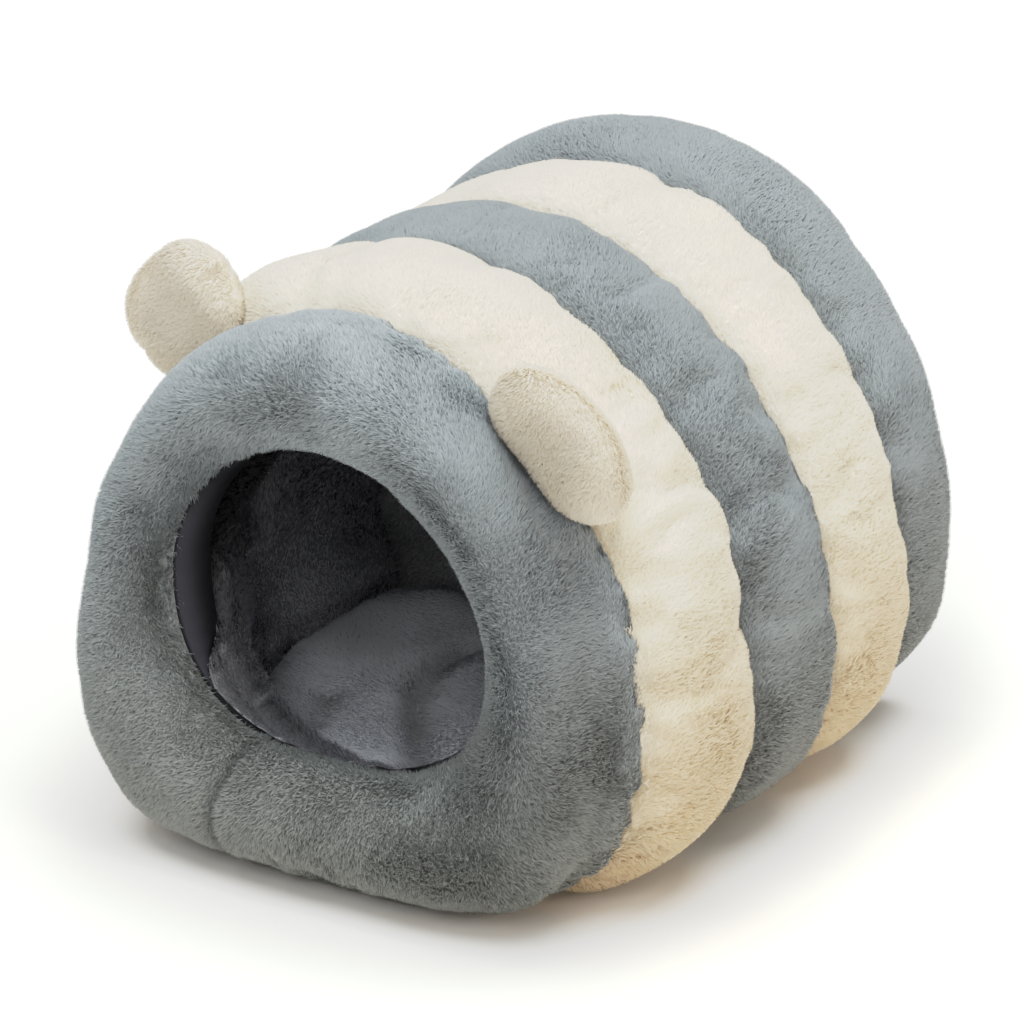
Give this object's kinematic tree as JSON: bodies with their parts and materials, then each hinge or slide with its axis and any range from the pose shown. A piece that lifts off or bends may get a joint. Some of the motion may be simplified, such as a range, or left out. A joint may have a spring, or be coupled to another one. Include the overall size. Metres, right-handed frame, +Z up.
{
  "type": "pet cave bed",
  "caption": "Plush cave bed for a cat or small dog, with stuffed grey and cream rings, two round ears, a round mouth and a loose floor pad.",
  "frame": {"origin": "on the floor under the bed, in the middle of its width and length", "axes": "+Z up; -Y out of the mouth; +X to the right of someone who looks into the mouth"},
  "size_m": [0.4186, 0.4352, 0.358],
  "materials": {
    "grey_plush": "long-pile plush",
    "cream_plush": "long-pile plush",
    "lining_plush": "short-pile plush",
    "mouth_cloth": "smooth woven cloth"
  },
  "bodies": {
    "root": {"front_ring": "grey_plush", "cream_ring_1": "cream_plush", "grey_ring_2": "grey_plush", "cream_ring_3": "cream_plush", "rear_ring": "grey_plush", "back_panel": "grey_plush", "mouth_facing": "mouth_cloth", "lining": "lining_plush", "cushion": "lining_plush", "left_ear": "cream_plush", "right_ear": "cream_plush"}
  },
  "joints": []
}
